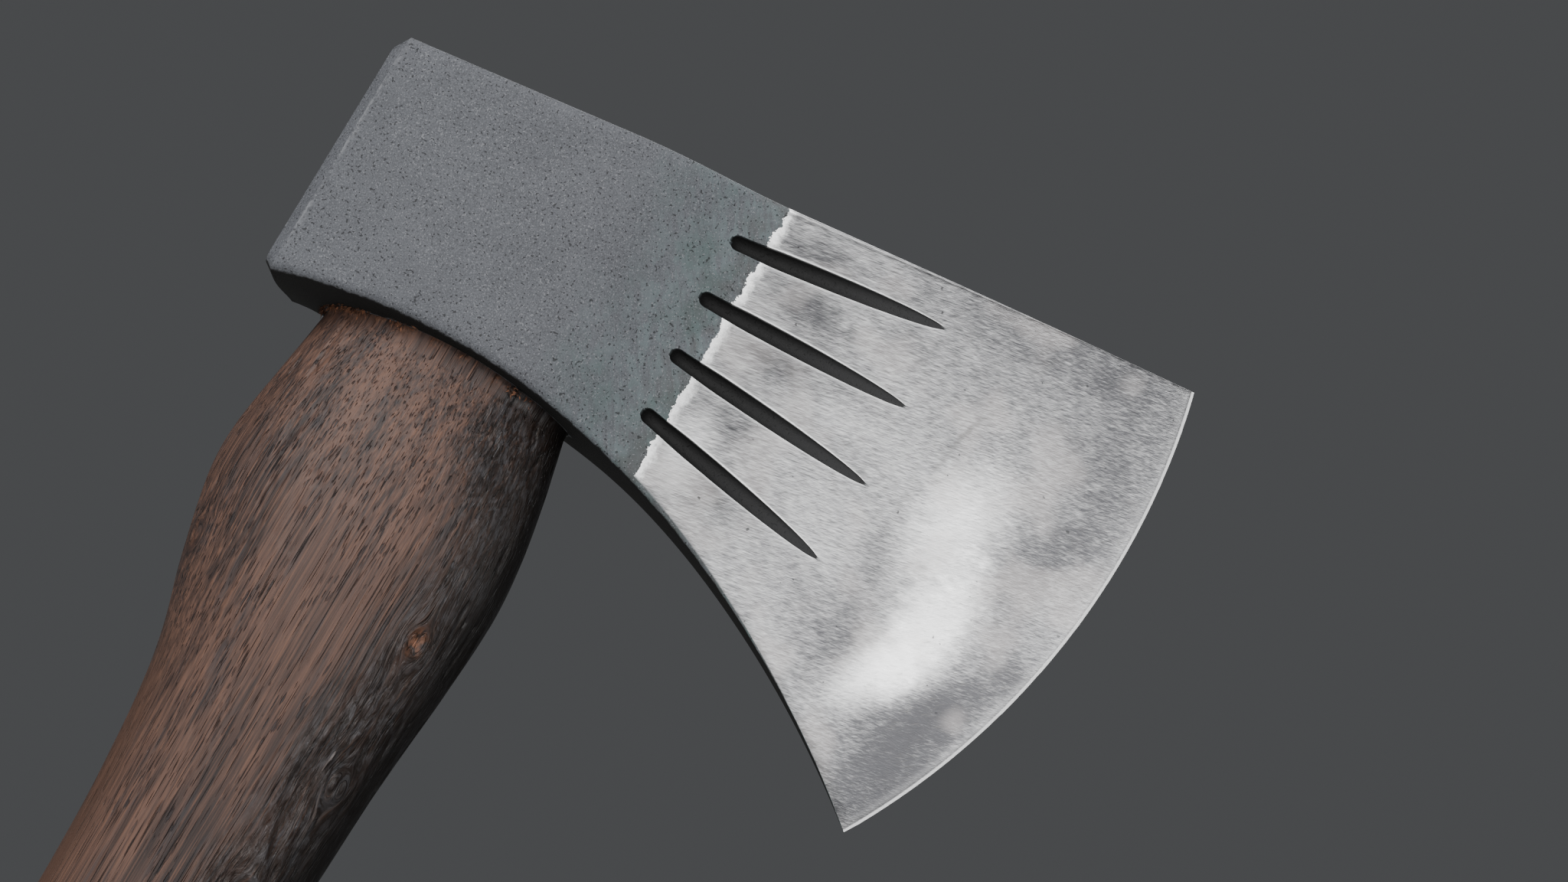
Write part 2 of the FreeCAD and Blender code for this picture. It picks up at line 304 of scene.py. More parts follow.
def fluteHalf(along, length):  # half width of a flute at a distance from its round start
    first = head["fluteStart"]
    ball = first * np.clip(1 - ((first - along) / first) ** 2, 0, 1) ** 0.4
    widen = first + (head["fluteHalf"] - first) * rise(along, first, 9)
    taper = head["fluteHalf"] * np.sqrt(1 - np.clip((along - 12) / (length - 12), 0, 1) ** 2)
    half = np.where(along < first, ball, np.minimum(widen, taper))
    return np.where((along > 0) & (along < length), half, 0)


slots = sorted(nearFlutes + farFlutes)
slotSteps = (0, 0.35, 0.65, 0.85, 0.94, 1.0, 1.07, 1.25, 1.6)
betweenSteps = (1 / 3, 2 / 3)


def headLines():  # each line of the cheek: slot, step, next slot, next step, share
    steps = sorted([-s for s in slotSteps[1:]] + list(slotSteps))
    rows = []
    for slot in range(len(slots)):
        rows += [(slot, step, slot, step, 0) for step in steps]
        if slot + 1 < len(slots):
            rows += [(slot, steps[-1], slot + 1, steps[0], share) for share in betweenSteps]
    return np.array(rows)


def lineAngle(lines, distance):
    table = np.array(slots)
    angles = []
    for slotColumn, stepColumn in ((0, 1), (2, 3)):
        flute = table[lines[:, slotColumn].astype(int)]
        along = distance - flute[:, 1]
        real = fluteHalf(along, flute[:, 2] - flute[:, 1])
        spare = np.where(along < 2, 0.6 * (np.minimum(distance, 91) / 91) ** 1.3, 0.22)
        half = np.maximum(real, spare)
        angles.append(np.radians(flute[:, 0]) + lines[:, stepColumn] * half / distance)
    return angles[0] + (angles[1] - angles[0]) * lines[:, 4]


def fluteDepth(lines, distance, flutes):
    angle = lineAngle(lines, distance)
    depth, lip = np.zeros((2, len(distance)))
    for degrees, start, tip in flutes:
        across = np.abs(angle - math.radians(degrees)) * distance
        along = distance - start
        half = fluteHalf(along, tip - start)
        safe = np.maximum(half, 1e-6)
        wall = np.clip(1 - (across / safe) ** 2, 0, 1) ** 0.36
        deep = head["fluteDepth"] * np.clip(1.06 - (along / (tip - start)) ** 1.6, 0.1, 1)
        deep = np.minimum(deep, 1.3 * half)
        depth = np.where(across < half * 0.999, deep * wall, depth)
        # lip: a slight raised ridge beside each flute, whose value also paints a highlight on it, full
        # on the upper side and weaker on the lower side
        ridge = np.exp(-((across - half * 1.05) / 0.16) ** 2) * rise(half, 0.1, 0.5)
        upper = np.where(angle > math.radians(degrees), 1, 0.4)
        lip = np.maximum(lip, np.where(across >= half * 0.999, ridge * upper, 0))
    return depth, lip


def crossing(line, circle, radius, low, high):  # where a boundary line meets an arc
    x = np.linspace(low, high, 4000)
    gap = np.hypot(x - circle[0], line(x) - circle[1]) - radius
    return float(x[np.argmax(np.sign(gap) != np.sign(gap[0]))])


def headGrid():
    lines = headLines()
    fanX, fanZ = head["fan"]
    bend = lineAngle(lines, np.full(len(lines), 132.0))
    ray = np.stack([np.cos(bend), np.sin(bend)], -1)

    def reach(circle, radius, side):
        offset = np.array(head["fan"]) - circle
        b = ray @ offset
        return fanX + ray[:, 0] * (-b + side * np.sqrt(b * b - offset @ offset + radius ** 2))

    weldX = reach(np.array(head["weldCentre"]), head["weldRadius"], -1)
    farX = reach(np.array(head["edgeCentre"]), head["edgeRadius"], 1)
    flat = pollX + head["pollBevel"]
    mid = head["midX"]
    upright = np.concatenate([
        pollX + head["pollBevel"] * np.array([0, 0.12, 0.5, 0.88]), flat + np.array([0, 0.3]),
        np.linspace(flat + 1, 25.5, 44), np.arange(25.9, 31, 0.24), np.arange(31, mid, 0.45)])
    parts = upright, np.linspace(0, 1, 78), 1 - np.linspace(1, 0, 44)[1:] ** 1.25
    value = np.concatenate(parts)[:, None]
    # 0 for upright stages, 1 for those that bend toward the weld, 2 for those toward the edge
    kind = np.repeat([0, 1, 2], [len(part) for part in parts])[:, None]
    weldStage = len(parts[0]) + len(parts[1]) - 1

    def spread(toWeld, toEdge):
        return np.where(kind == 0, value, np.where(
            kind == 1, mid + (toWeld - mid) * value, toWeld + (toEdge - toWeld) * value))

    x = spread(weldX[None, :], farX[None, :])
    distance = x - fanX
    for _ in range(4):
        angle = np.stack([lineAngle(lines, row) for row in distance])
        distance = (x - fanX) / np.cos(angle)
    z = fanZ + (x - fanX) * np.tan(angle)
    inset = np.maximum(0, flat - x[:, :1])
    roundTo = head["forgedRound"] * (1 - rise(x[:, :1], 18, 75) * 0.9)
    roundTo = np.minimum(roundTo, 0.45 * headHalf(x[:, :1], 20))
    columnsX, columnsZ, drop = [x], [z], [np.zeros_like(x)]
    turns = np.radians([0, 18, 36, 54, 72, 90])
    for line, at, up in ((underLine, 0, 1), (topLine, -1, -1)):
        rimX = spread(crossing(line, head["weldCentre"], head["weldRadius"], 50, 95),
                      crossing(line, head["edgeCentre"], head["edgeRadius"], 60, 106))
        rimZ = line(rimX) + up * inset
        baseX, baseZ = x[:, [at]], z[:, [at]]
        share = np.linspace(0, 1, 14)[1:-1][None, :]
        foot = rimZ + up * roundTo
        bandX = baseX + (rimX - baseX) * share
        bandZ = baseZ + (foot - baseZ) * share
        centre, arc = head["weldCentre"], head["weldRadius"]
        weldBand = bandZ[weldStage] - centre[1]
        toArc = centre[0] - np.sqrt(arc ** 2 - weldBand ** 2) - bandX[weldStage]
        toRim = edgeX(bandZ[-1]) - bandX[-1]
        bandX = bandX + np.where(kind == 1, toArc * value,
                                 np.where(kind == 2, toArc + (toRim - toArc) * value, 0))
        rimLinesZ = rimZ + up * roundTo * (1 - np.sin(turns))[None, :]
        rimDrop = roundTo * (1 - np.cos(turns))[None, :]
        newX = np.concatenate([bandX, np.repeat(rimX, len(turns), 1)], 1)
        newZ = np.concatenate([bandZ, rimLinesZ], 1)
        newDrop = np.concatenate([np.zeros_like(bandX), rimDrop], 1)
        for stack, new in ((columnsX, newX), (columnsZ, newZ), (drop, newDrop)):
            if up > 0:
                stack.insert(0, new[:, ::-1])
            else:
                stack.append(new)
    start = columnsX[0].shape[1]
    return {
        "x": np.concatenate(columnsX, 1), "z": np.concatenate(columnsZ, 1),
        "drop": np.concatenate(drop, 1), "inset": inset, "lines": lines, "distance": distance,
        "middle": slice(start, start + len(lines)), "rim": len(turns), "weldStage": weldStage,
    }


def headCheek(grid, side, flutes):
    x, z = grid["x"], grid["z"]
    half = headHalf(x, z) - grid["drop"] - grid["inset"]
    flat = np.stack([x, np.full_like(x, side * 40.0), z], -1)
    forged = 1 - rise(x, 30, 36)
    calm = rise(x, pollX, pollX + 6) * np.clip(1 - grid["drop"] / 2, 0, 1)
    ripple = cloud(flat, (9, 9, 9), 2, 1) * 0.10 + cloud(flat, (26, 26, 26), 1, 4) * 0.12
    sway = cloud(flat, (22, 9, 14), 2, 8) * 0.035
    half = half - calm * (forged * (0.12 + ripple) - (1 - forged) * sway * rise(half, 0.6, 2))
    depth, lip = np.zeros((2, *x.shape))
    middle = grid["middle"]
    for index, row in enumerate(grid["distance"]):
        depth[index, middle], lip[index, middle] = fluteDepth(grid["lines"], row, flutes)
    half = np.maximum(half - depth + lip * 0.05, 0.01)
    points = np.stack([x, side * half, z], -1)
    # the second value masks the flute floors, which get black scale and painted shade
    return points, rise(depth, 0.02, 0.1), lip


def looped(near, top, far, under):  # joins the four sides' points or values into closed loops
    return np.concatenate([near, top, far[:, ::-1], under], 1)


def headLoops(grid):
    near, nearDark, nearLip = headCheek(grid, -1, nearFlutes)
    far, farDark, farLip = headCheek(grid, 1, farFlutes)
    across = head["acrossSteps"]
    share = np.linspace(0, 1, across + 1)[None, 1:-1, None]
    crown = 4 * share * (1 - share)

    def strip(a, b, up):
        line = a[:, None] * (1 - share) + b[:, None] * share
        width = np.abs(b[:, 1] - a[:, 1])[:, None, None]
        follow = underLine if up < 0 else topLine
        close = 1 - np.clip(np.abs(a[:, 0] - a[grid["weldStage"], 0]) / 30, 0, 1)
        moved = line[..., 0:1] - head["cleft"] * close[:, None, None] * (1 - np.abs(2 * share - 1))
        line[..., 2:3] += follow(moved) - follow(line[..., 0:1])
        line[..., 2:3] += up * np.minimum(width * 0.035, 0.7 if up > 0 else 0.15) * crown
        line[..., 0:1] = moved
        return line

    top = strip(near[:, -1], far[:, -1], 1)
    under = strip(far[:, 0], near[:, 0], -1)
    # the underside bellies out beside the haft, and its far rear corner is forged round
    belly = rise(under[..., 0], pollX, pollX + 9) * (1 - rise(under[..., 0], -12, 6))
    under[..., 2] -= head["belly"] * belly * crown[..., 0] * (1 - share[..., 0] * 0.5)
    loops = looped(near, top, far, under)
    low = 1 - rise(loops[..., 2] - underLine(loops[..., 0]), 0.5, 14)
    corner = (1 - rise(loops[..., 0], pollX, pollX + 10)) * rise(loops[..., 1], -9, 12)
    loops[..., 2] += head["belly"] * corner * low
    blank = np.zeros(top.shape[:2])
    skin = np.ones(near.shape[:2])
    skin[:, :grid["rim"] - 1] = 0
    # under: 1 on the underside strip, fading up the lower rim; it masks the painted shade under the head
    # and the rougher oxide there
    under = np.zeros(near.shape[:2])
    under[:, :grid["rim"]] = np.linspace(1, 0, grid["rim"]) ** 1.6
    layers = {
        "recess": looped(nearDark, blank, farDark, blank),
        "lip": looped(nearLip, blank, farLip, blank),
        "skin": looped(skin, blank + 1, skin, blank),
        "under": looped(under, blank, under, blank + 1),
        "bevel": np.exp(-((loops[..., 0] - pollX - head["pollBevel"] - 0.1) / 0.22) ** 2),
    }
    return loops, layers, near.shape[1], across


def closeSection(path, stage, count, across, fold, offset, extra):
    # fills the section at one stage with a grid from the near cheek to the far cheek
    loop = path[stage]
    total = 2 * count + 2 * (across - 1)
    index = np.zeros((count, across + 1), int)
    index[:, 0] = np.arange(count)
    index[:, -1] = count + across - 1 + (count - 1 - np.arange(count))
    index[-1, 1:-1] = count + np.arange(across - 1)
    index[0, 1:-1] = total - 1 - np.arange(across - 1)
    points = []
    near, far = loop[:count], loop[index[:, -1]]
    for row in range(1, count - 1):
        for column in range(1, across):
            share = column / across
            point = near[row] * (1 - share) + far[row] * share
            if fold:  # the cleft runs back along this row's own line
                point[0] -= fold * (1 - abs(2 * share - 1))
                point[2] = np.interp(point[0], path[:, row, 0], path[:, row, 2])
            index[row, column] = total + len(points)
            points.append(point)
    index = np.where(index < total, index + offset, index - total + extra)
    faces = [(index[r, c], index[r + 1, c], index[r + 1, c + 1], index[r, c + 1])
             for r in range(count - 1) for c in range(across)]
    return points, faces


def headPiece(name, path, layers, part, count, across, foldStart, foldEnd, finish):
    loops = path[part]
    layers = {key: values[part] for key, values in layers.items()}
    stages, total = loops.shape[:2]
    points = loops.reshape(-1, 3).tolist()
    faces = tubeFaces(stages, total)
    first = part.indices(len(path))[0]
    for stage, fold in ((0, foldStart), (stages - 1, foldEnd)):
        extra, sheet = closeSection(path, first + stage, count, across, fold, stage * total, len(points))
        points += [list(p) for p in extra]
        faces += sheet
    spare = len(points) - stages * total
    filled = {key: np.concatenate([v.ravel(), np.zeros(spare)]) for key, v in layers.items()}
    points = np.array(points) + (0, 0, headZero)
    return makeMesh(name, points, faces, finish, filled, crease=head["crease"])


# Head: finish

headLook = {
    "oxide": (0.064, 0.067, 0.075), "oxidePale": (0.128, 0.133, 0.147),
    "oxideGreen": (0.118, 0.144, 0.152), "oxideTeal": (0.056, 0.088, 0.082),
    "oxideUmber": (0.066, 0.064, 0.063), "oxideSalt": (0.23, 0.235, 0.25),
    # near black: real black scale in the pits, and also the painted shade in the flutes and under the
    # head
    "scaleBlack": (0.006, 0.006, 0.006), "hollow": (0.026, 0.026, 0.027),
    # steelDull to steelPale spans the painted reflections on the ground steel; steelPale also paints its
    # highlights
    "steelDull": (0.074, 0.074, 0.079), "steelPale": (1.0, 1.0, 1.0), "steelWarm": (0.5, 0.465, 0.45),
    "scratch": (0.12, 0.115, 0.11), "oxideRough": 0.62, "steelRough": 0.36,
    # painted reflections with some tarnish on the blade, as bright and dark tones: x, height, half
    # length, half width, lean in degrees, change
    "reflectionAndTarnish": [
        (41, 42.5, 6, 3, 6, -0.3), (44.5, 34.5, 7.5, 3.5, 3, -0.34), (42, 25, 6.5, 3.2, -4, -0.28),
        (41, 13.5, 6.5, 3, -9, -0.2), (44, 3.5, 6, 2.5, -25, -0.14), (61, 38, 16, 5, -6, -0.12),
        (70, 47, 22, 5, 5, -0.14), (56, 31, 6, 3, 0, 0.1),
        (78, 17, 12, 7, 80, 0.6), (82, 1, 12, 6, 80, 0.85), (78, -9, 9, 4.5, 60, 0.6),
        (92.5, 20, 10, 4, 62, -0.13), (92, -5, 12, 3.5, 62, -0.2), (85, -18, 15, 9, 58, -0.44),
        (71, -10, 14, 6, 118, -0.12), (92, 42, 14, 8, 70, -0.1),
        (71, 1, 12, 4, 100, -0.16), (63, -5, 9, 3.5, 120, -0.05), (96, 32, 14, 7, 80, -0.16),
        (68, 22, 6, 10, 20, 0.1), (56, 22, 10, 3, 0, 0.12), (38, 7, 4, 9, 0, 0.36),
        (60, 6, 12, 6, -30, 0.1),
    ],
}


def makeHeadFinish():
    f = Finish("forgedIron", headLook, Specular_IOR_Level=0.3)
    x, z = f.axis("X"), f.axis("Z") - headZero
    ragged = (f.grain(2.6, 2, 0.6) * 2.0 + f.grain(0.6, 2, 0.6, 3) * 1.3
              + f.grain(0.22, 0, 0.5, 4) * 0.5)
    inside = x - head["polishX"] + 1.9 - ragged
    polished = (inside * 9 + 0.5).span(0, 1)
    recess, under = f.layer("recess"), f.layer("under")
    ground = polished * f.layer("skin") * (1 - recess)

    # forge scale: fine speckle, soft patches, greener and darker toward the neck
    speckle = f.grain(0.26, 3, 0.8, 5)
    patches = f.grain(7, 3, 0.6, 2)
    mottle = f.grain(1.6, 3, 0.65, 31)
    neckward = (x + (patches - 0.5) * 16 + (mottle - 0.5) * 7).span(11, 31)
    streaks = f.grain((1.0, 1.0, 6.0), 2, 0.6, 8, turn=(0, -0.6, 0), warp=0.4)
    greenish = neckward * f.grain((5, 5, 9), 2, 0.5, 33).span(0.45, 0.65)
    umber = (x + (mottle - 0.5) * 6).span(25, 33) * f.grain(4, 2, 0.6, 35).span(0.35, 0.6)
    salt = f.grain(0.24, 0, 0.5, 47).span(0.66, 0.76) * (0.4 + mottle * 0.6)
    pits = f.grain(0.36, 0, 0.5, 12).span(0.7, 0.78)
    worn = f.grain(0.3, 1, 0.5, 17).span(0.76, 0.82) * f.grain(8, 1, 0.5, 19).span(0.56, 0.66)
    rubbed = f.grain((0.5, 0.5, 1.6), 2, 0.7, 41) + f.grain((5, 5, 9), 1, 0.5, 43)
    bevelWear = f.layer("bevel") * rubbed.span(0.98, 1.2)
    oxide = f.coat(
        "oxide", oxidePale=(speckle * 1.3 + patches * 0.2).span(0.52, 1.0),
        oxideGreen=neckward * (0.25 + 0.75 * (streaks * 0.6 + mottle * 0.4).span(0.43, 0.57)),
        oxideTeal=greenish * 0.55, oxideUmber=umber * 0.6, oxideSalt=salt * 0.75,
        scaleBlack=pits * 0.7)
    oxide = f.coat(oxide, oxideSalt=(worn * 0.55).top(bevelWear * 0.7))
    # the flute floors: partly real black scale, partly painted shade, easing to the paler hollow tone
    # toward the shallow tips
    oxide = f.blend(recess, oxide, f.coat("scaleBlack", hollow=x.span(36, 62)))
    # painted shade: the underside and the lower rim go near black, with ragged noise edges
    sooty = (under + (mottle - 0.5) * 0.8 + (speckle - 0.5) * 0.5).span(0.36, 0.62)
    oxide = f.coat(oxide, scaleBlack=sooty * under.span(0, 0.1))

    # ground steel: brushed along the top edge, painted reflections with some tarnish as soft bright and
    # dull clouds, darker toward the cutting edge and toe, crossing scratches
    brushed = f.grain((11, 0.15, 0.15), 2, 0.7, 1, turn=(0, -0.13, 0))
    strokes = f.grain((5.5, 0.26, 0.26), 1, 0.6, 27, turn=(0, -0.2, 0))
    crossed = f.grain((11, 0.17, 0.17), 1, 0.6, 9, turn=(0, -0.68, 0))
    reflectionAndTarnish = f.grain(13, 3, 0.55, 4)
    fineCloud = f.grain((3.0, 3.0, 2.0), 3, 0.6, 6)
    tone = (0.06 + (reflectionAndTarnish - 0.5) * 0.45 + (fineCloud - 0.5) * 0.25 + (brushed - 0.5) * 1.1
            + (strokes - 0.5) * 0.6 + (crossed - 0.5) * 0.4)
    for placeX, placeZ, long, wide, lean, change in headLook["reflectionAndTarnish"]:
        dx, dz = x - placeX, z - placeZ
        turned, aside = math.cos(math.radians(lean)), math.sin(math.radians(lean))
        along, off = (dx * turned + dz * aside) / long, (dz * turned - dx * aside) / wide
        reach = (along * along + off * off) ** 0.5 + (fineCloud - 0.5) * 0.7 + (reflectionAndTarnish - 0.5) * 0.9
        tone = tone + (1 - reach.span(0.1, 1.35)) * change
    tone = tone - (x + z * 0.25 + (reflectionAndTarnish - 0.5) * 20).span(66, 104) * 0.16
    steel = f.coat("steelDull", steelPale=tone.span(-0.5, 1.3),
                   steelWarm=f.grain(9, 1, 0.5, 45).span(0.5, 0.68) * 0.25)
    deep = f.grain((26, 0.16, 0.16), 0, 0.5, 51, turn=(0, -0.62, 0)).span(0.74, 0.78)
    lowBlade = (x - z * 0.5).span(74, 86)
    weldX, weldZ = x - head["weldCentre"][0], z - head["weldCentre"][1]
    drift = (f.grain(4, 2, 0.6, 21) - 0.5) * 2.4
    fromWeld = ((weldX * weldX + weldZ * weldZ) ** 0.5 - head["weldRadius"] + drift).size()
    weldLine = (1 - fromWeld.span(0.1, 0.7)) * f.grain(9, 1, 0.5, 23).span(0.4, 0.6)
    nicks = f.grain(0.9, 0, 0.5, 57).span(0.86, 0.88)
    steel = f.coat(steel, scratch=(deep * lowBlade * 0.45).top(weldLine * z.span(10, 26) * 0.5),
                   hollow=nicks * 0.7)
    edgeA, edgeB = x - head["edgeCentre"][0], z - head["edgeCentre"][1]
    fromEdge = head["edgeRadius"] - (edgeA * edgeA + edgeB * edgeB) ** 0.5
    keen = 1 - fromEdge.span(head["microWidth"] - 0.15, head["microWidth"] + 0.1)
    nearEdge = (1 - fromEdge.span(0.4, 2.0)) * 0.1
    border = (1 - (inside + (fineCloud - 0.5)).span(0.2, 1.9)) * 0.85
    # painted highlights: the keen micro-bevel and the flute lips are painted near white, beside a pale
    # band along the polish border and a faint one near the edge; the keen edge also loses its metal so
    # the white shows under any lamp
    bright = keen.top(f.layer("lip") * 0.9).top(border).top(nearEdge)
    f.feed(Base_Color=f.blend(ground, oxide, f.coat(steel, steelPale=bright)))
    f.feed(Metallic=ground * (0.9 - keen * 0.8))
    steelRough = headLook["steelRough"] + (brushed - 0.5) * 0.2 + (fineCloud - 0.5) * 0.1 - keen * 0.1
    oxideRough = headLook["oxideRough"] + (speckle - 0.5) * 0.25 + recess * 0.05 + under * 0.36
    f.feed(Roughness=oxideRough + (steelRough - oxideRough) * ground)
    scaleHeight = (speckle * 0.7 + streaks * neckward * 0.35 + mottle * 0.4 - pits * 0.5) * (1 - ground)
    steelHeight = (brushed + strokes * 0.6 + crossed * 0.4) * ground
    f.feed(Normal=f.relief(steelHeight, 0.02, f.relief(scaleHeight, 0.13)))
    return f


headFinish = makeHeadFinish()
grid = headGrid()
loops, layers, count, across = headLoops(grid)
weld = grid["weldStage"]
layers["ring"] = np.zeros(loops.shape[:2])
layers["ring"][weld] = 1
headVisual = headPiece("headBody", loops, layers, slice(0, weld + 1), count, across,
                       0, head["cleft"], headFinish)
bitVisual = headPiece("cuttingBit", loops, layers, slice(weld, None), count, across,
                      head["cleft"], 0, headFinish)
print("head meshes", len(headVisual.data.vertices), len(bitVisual.data.vertices))


def eyeShape(share):  # the eye's centre, half length and half width, from foot 0 to top 1
    return [a + (b - a) * share for a, b in zip(head["eyeFoot"], head["eyeTop"])]


def makeEyeCutter(steps=160):
    turn = np.linspace(0, 2 * math.pi, steps, endpoint=False)
    rings = []
    for level in (-8, 60):
        centre, long, wide = eyeShape(level / head["eyeHeight"])
        rings.append(np.stack([centre + long * np.cos(turn), wide * np.sin(turn),
                               np.full(steps, level + headZero)], -1))
    faces = tubeFaces(2, steps) + [list(range(steps))[::-1], list(range(steps, 2 * steps))]
    return makeMesh("eyeCutter", np.concatenate(rings), faces, headFinish)


eyeCutter = makeEyeCutter()
carve(headVisual, eyeCutter)
cutterMesh = eyeCutter.data
bpy.data.objects.remove(eyeCutter)
bpy.data.meshes.remove(cutterMesh)
tidyMesh(headVisual, head["crease"])
print("eye cut", len(headVisual.data.vertices))

# Haft

haft = {
    "rings": np.array([  # level, centre, half length, half width
        (-317, -3.0, 18.9, 13.4), (-300, -2.6, 19.4, 13.8), (-268, -1.3, 17.7, 12.9),
        (-215, 0.0, 16.9, 12.4), (-160, 2.2, 16.8, 12.4), (-110, 3.9, 17.3, 12.6),
        (-75, 4.1, 18.3, 12.9), (-56, 3.4, 19.95, 13.4), (-42, 2.0, 22.6, 13.7),
        (-27, 0.8, 24.5, 13.4), (-10, 0.5, 22.5, 11.1), (0, 0.1, 20.6, 8.5)]),
    "proud": 0.8, "buttBevel": 1.6, "columns": 380, "fineFrom": -104, "fineStep": 0.45,
    "coarseStep": 1.5, "inset": 0.15, "capRings": 34,
    "crease": 45, "halfLimit": 13.75,
    # where the scorching starts on the near side: level, angle round the haft in degrees
    "charBorder": [(-317, -66), (-150, -72), (-100, -80), (-80, -78), (-60, -72), (-45, -64),
                   (-25, -61), (-5, -60)],
    # knots: angle round the haft in degrees, level, radius, how bare the core is
    "knots": [(-44, -38.2, 1.9, 1.0), (-155, -39.6, 1.9, 0.35), (-38, -62, 2.2, 0.0),
              (-52, -84, 2.4, 0.0), (62, -92, 2.2, 0.8), (128, -176, 2.0, 0.4), (20, -244, 2.4, 0.6)],
}


def haftRing(level):
    rings = haft["rings"]
    level = np.clip(np.asarray(level, float), rings[0, 0], 0)
    slopes = np.gradient(rings[:, 1:], rings[:, 0], axis=0)
    at = np.clip(np.searchsorted(rings[:, 0], level, "right") - 1, 0, len(rings) - 2)
    low, high = rings[at], rings[at + 1]
    run = high[..., :1] - low[..., :1]
    f = (level[..., None] - low[..., :1]) / run
    return cubic(f, low[..., 1:], high[..., 1:], run * slopes[at], run * slopes[at + 1])


def haftGrain(points):  # the grain's own coordinates bend round each knot
    grain = points.copy()
    swell = np.zeros(points.shape[:-1])
    core = np.zeros(points.shape[:-1])
    for degrees, level, radius, bare in haft["knots"]:
        centre, ringLong, ringWide = haftRing(level)
        angle = math.radians(degrees)
        spot = np.array([centre + ringLong * math.cos(angle), ringWide * math.sin(angle), level])
        tangent = np.array([-ringLong * math.sin(angle), ringWide * math.cos(angle), 0])
        tangent /= np.linalg.norm(tangent)
        offset = points - spot
        aside = offset @ tangent
        reach = np.sqrt((offset[..., :2] ** 2).sum(-1) + (offset[..., 2] / 1.7) ** 2)
        pull = radius ** 2 / (reach ** 2 + 0.3 * radius ** 2) * np.exp(-(reach / (5 * radius)) ** 2)
        grain -= (aside * pull)[..., None] * tangent
        swell += np.exp(-(reach / (1.6 * radius)) ** 2)
        core = np.maximum(core, bare * np.exp(-(reach / (0.6 * radius)) ** 2))
    return grain, swell, core


def haftFields(points, degrees):
    level = points[..., 2]
    wander = cloud(points, (8, 8, 22), 3, 17) * 24
    border = np.interp(level, *np.array(haft["charBorder"]).T)
    char = np.where(degrees < 0, rise(degrees + wander, border - 20, border + 18),
                    1 - rise(degrees + wander, 22, 62))
    # soot: the front strip, partly real soot, partly painted shade on the side turned from the light
    soot = rise(degrees + wander * 0.5, -46, -12) * (1 - rise(degrees + wander * 0.5, 14, 42))
    low = rise(-level, 44, 70)
    amber = np.exp(-((np.abs(degrees) - 157) / 15) ** 2) * low
    scaly = rise(degrees + wander * 0.6, border - 6, border + 12) * rise(-level, 34, 48)
    scaly = np.where(degrees < 0, scaly * (1 - 0.75 * rise(degrees, -52, -26)), 0)
    dashes = np.exp(-((degrees + 116) / 20) ** 2) * np.exp(-((level + 24) / 14) ** 2)
    return char, soot, amber, scaly, dashes


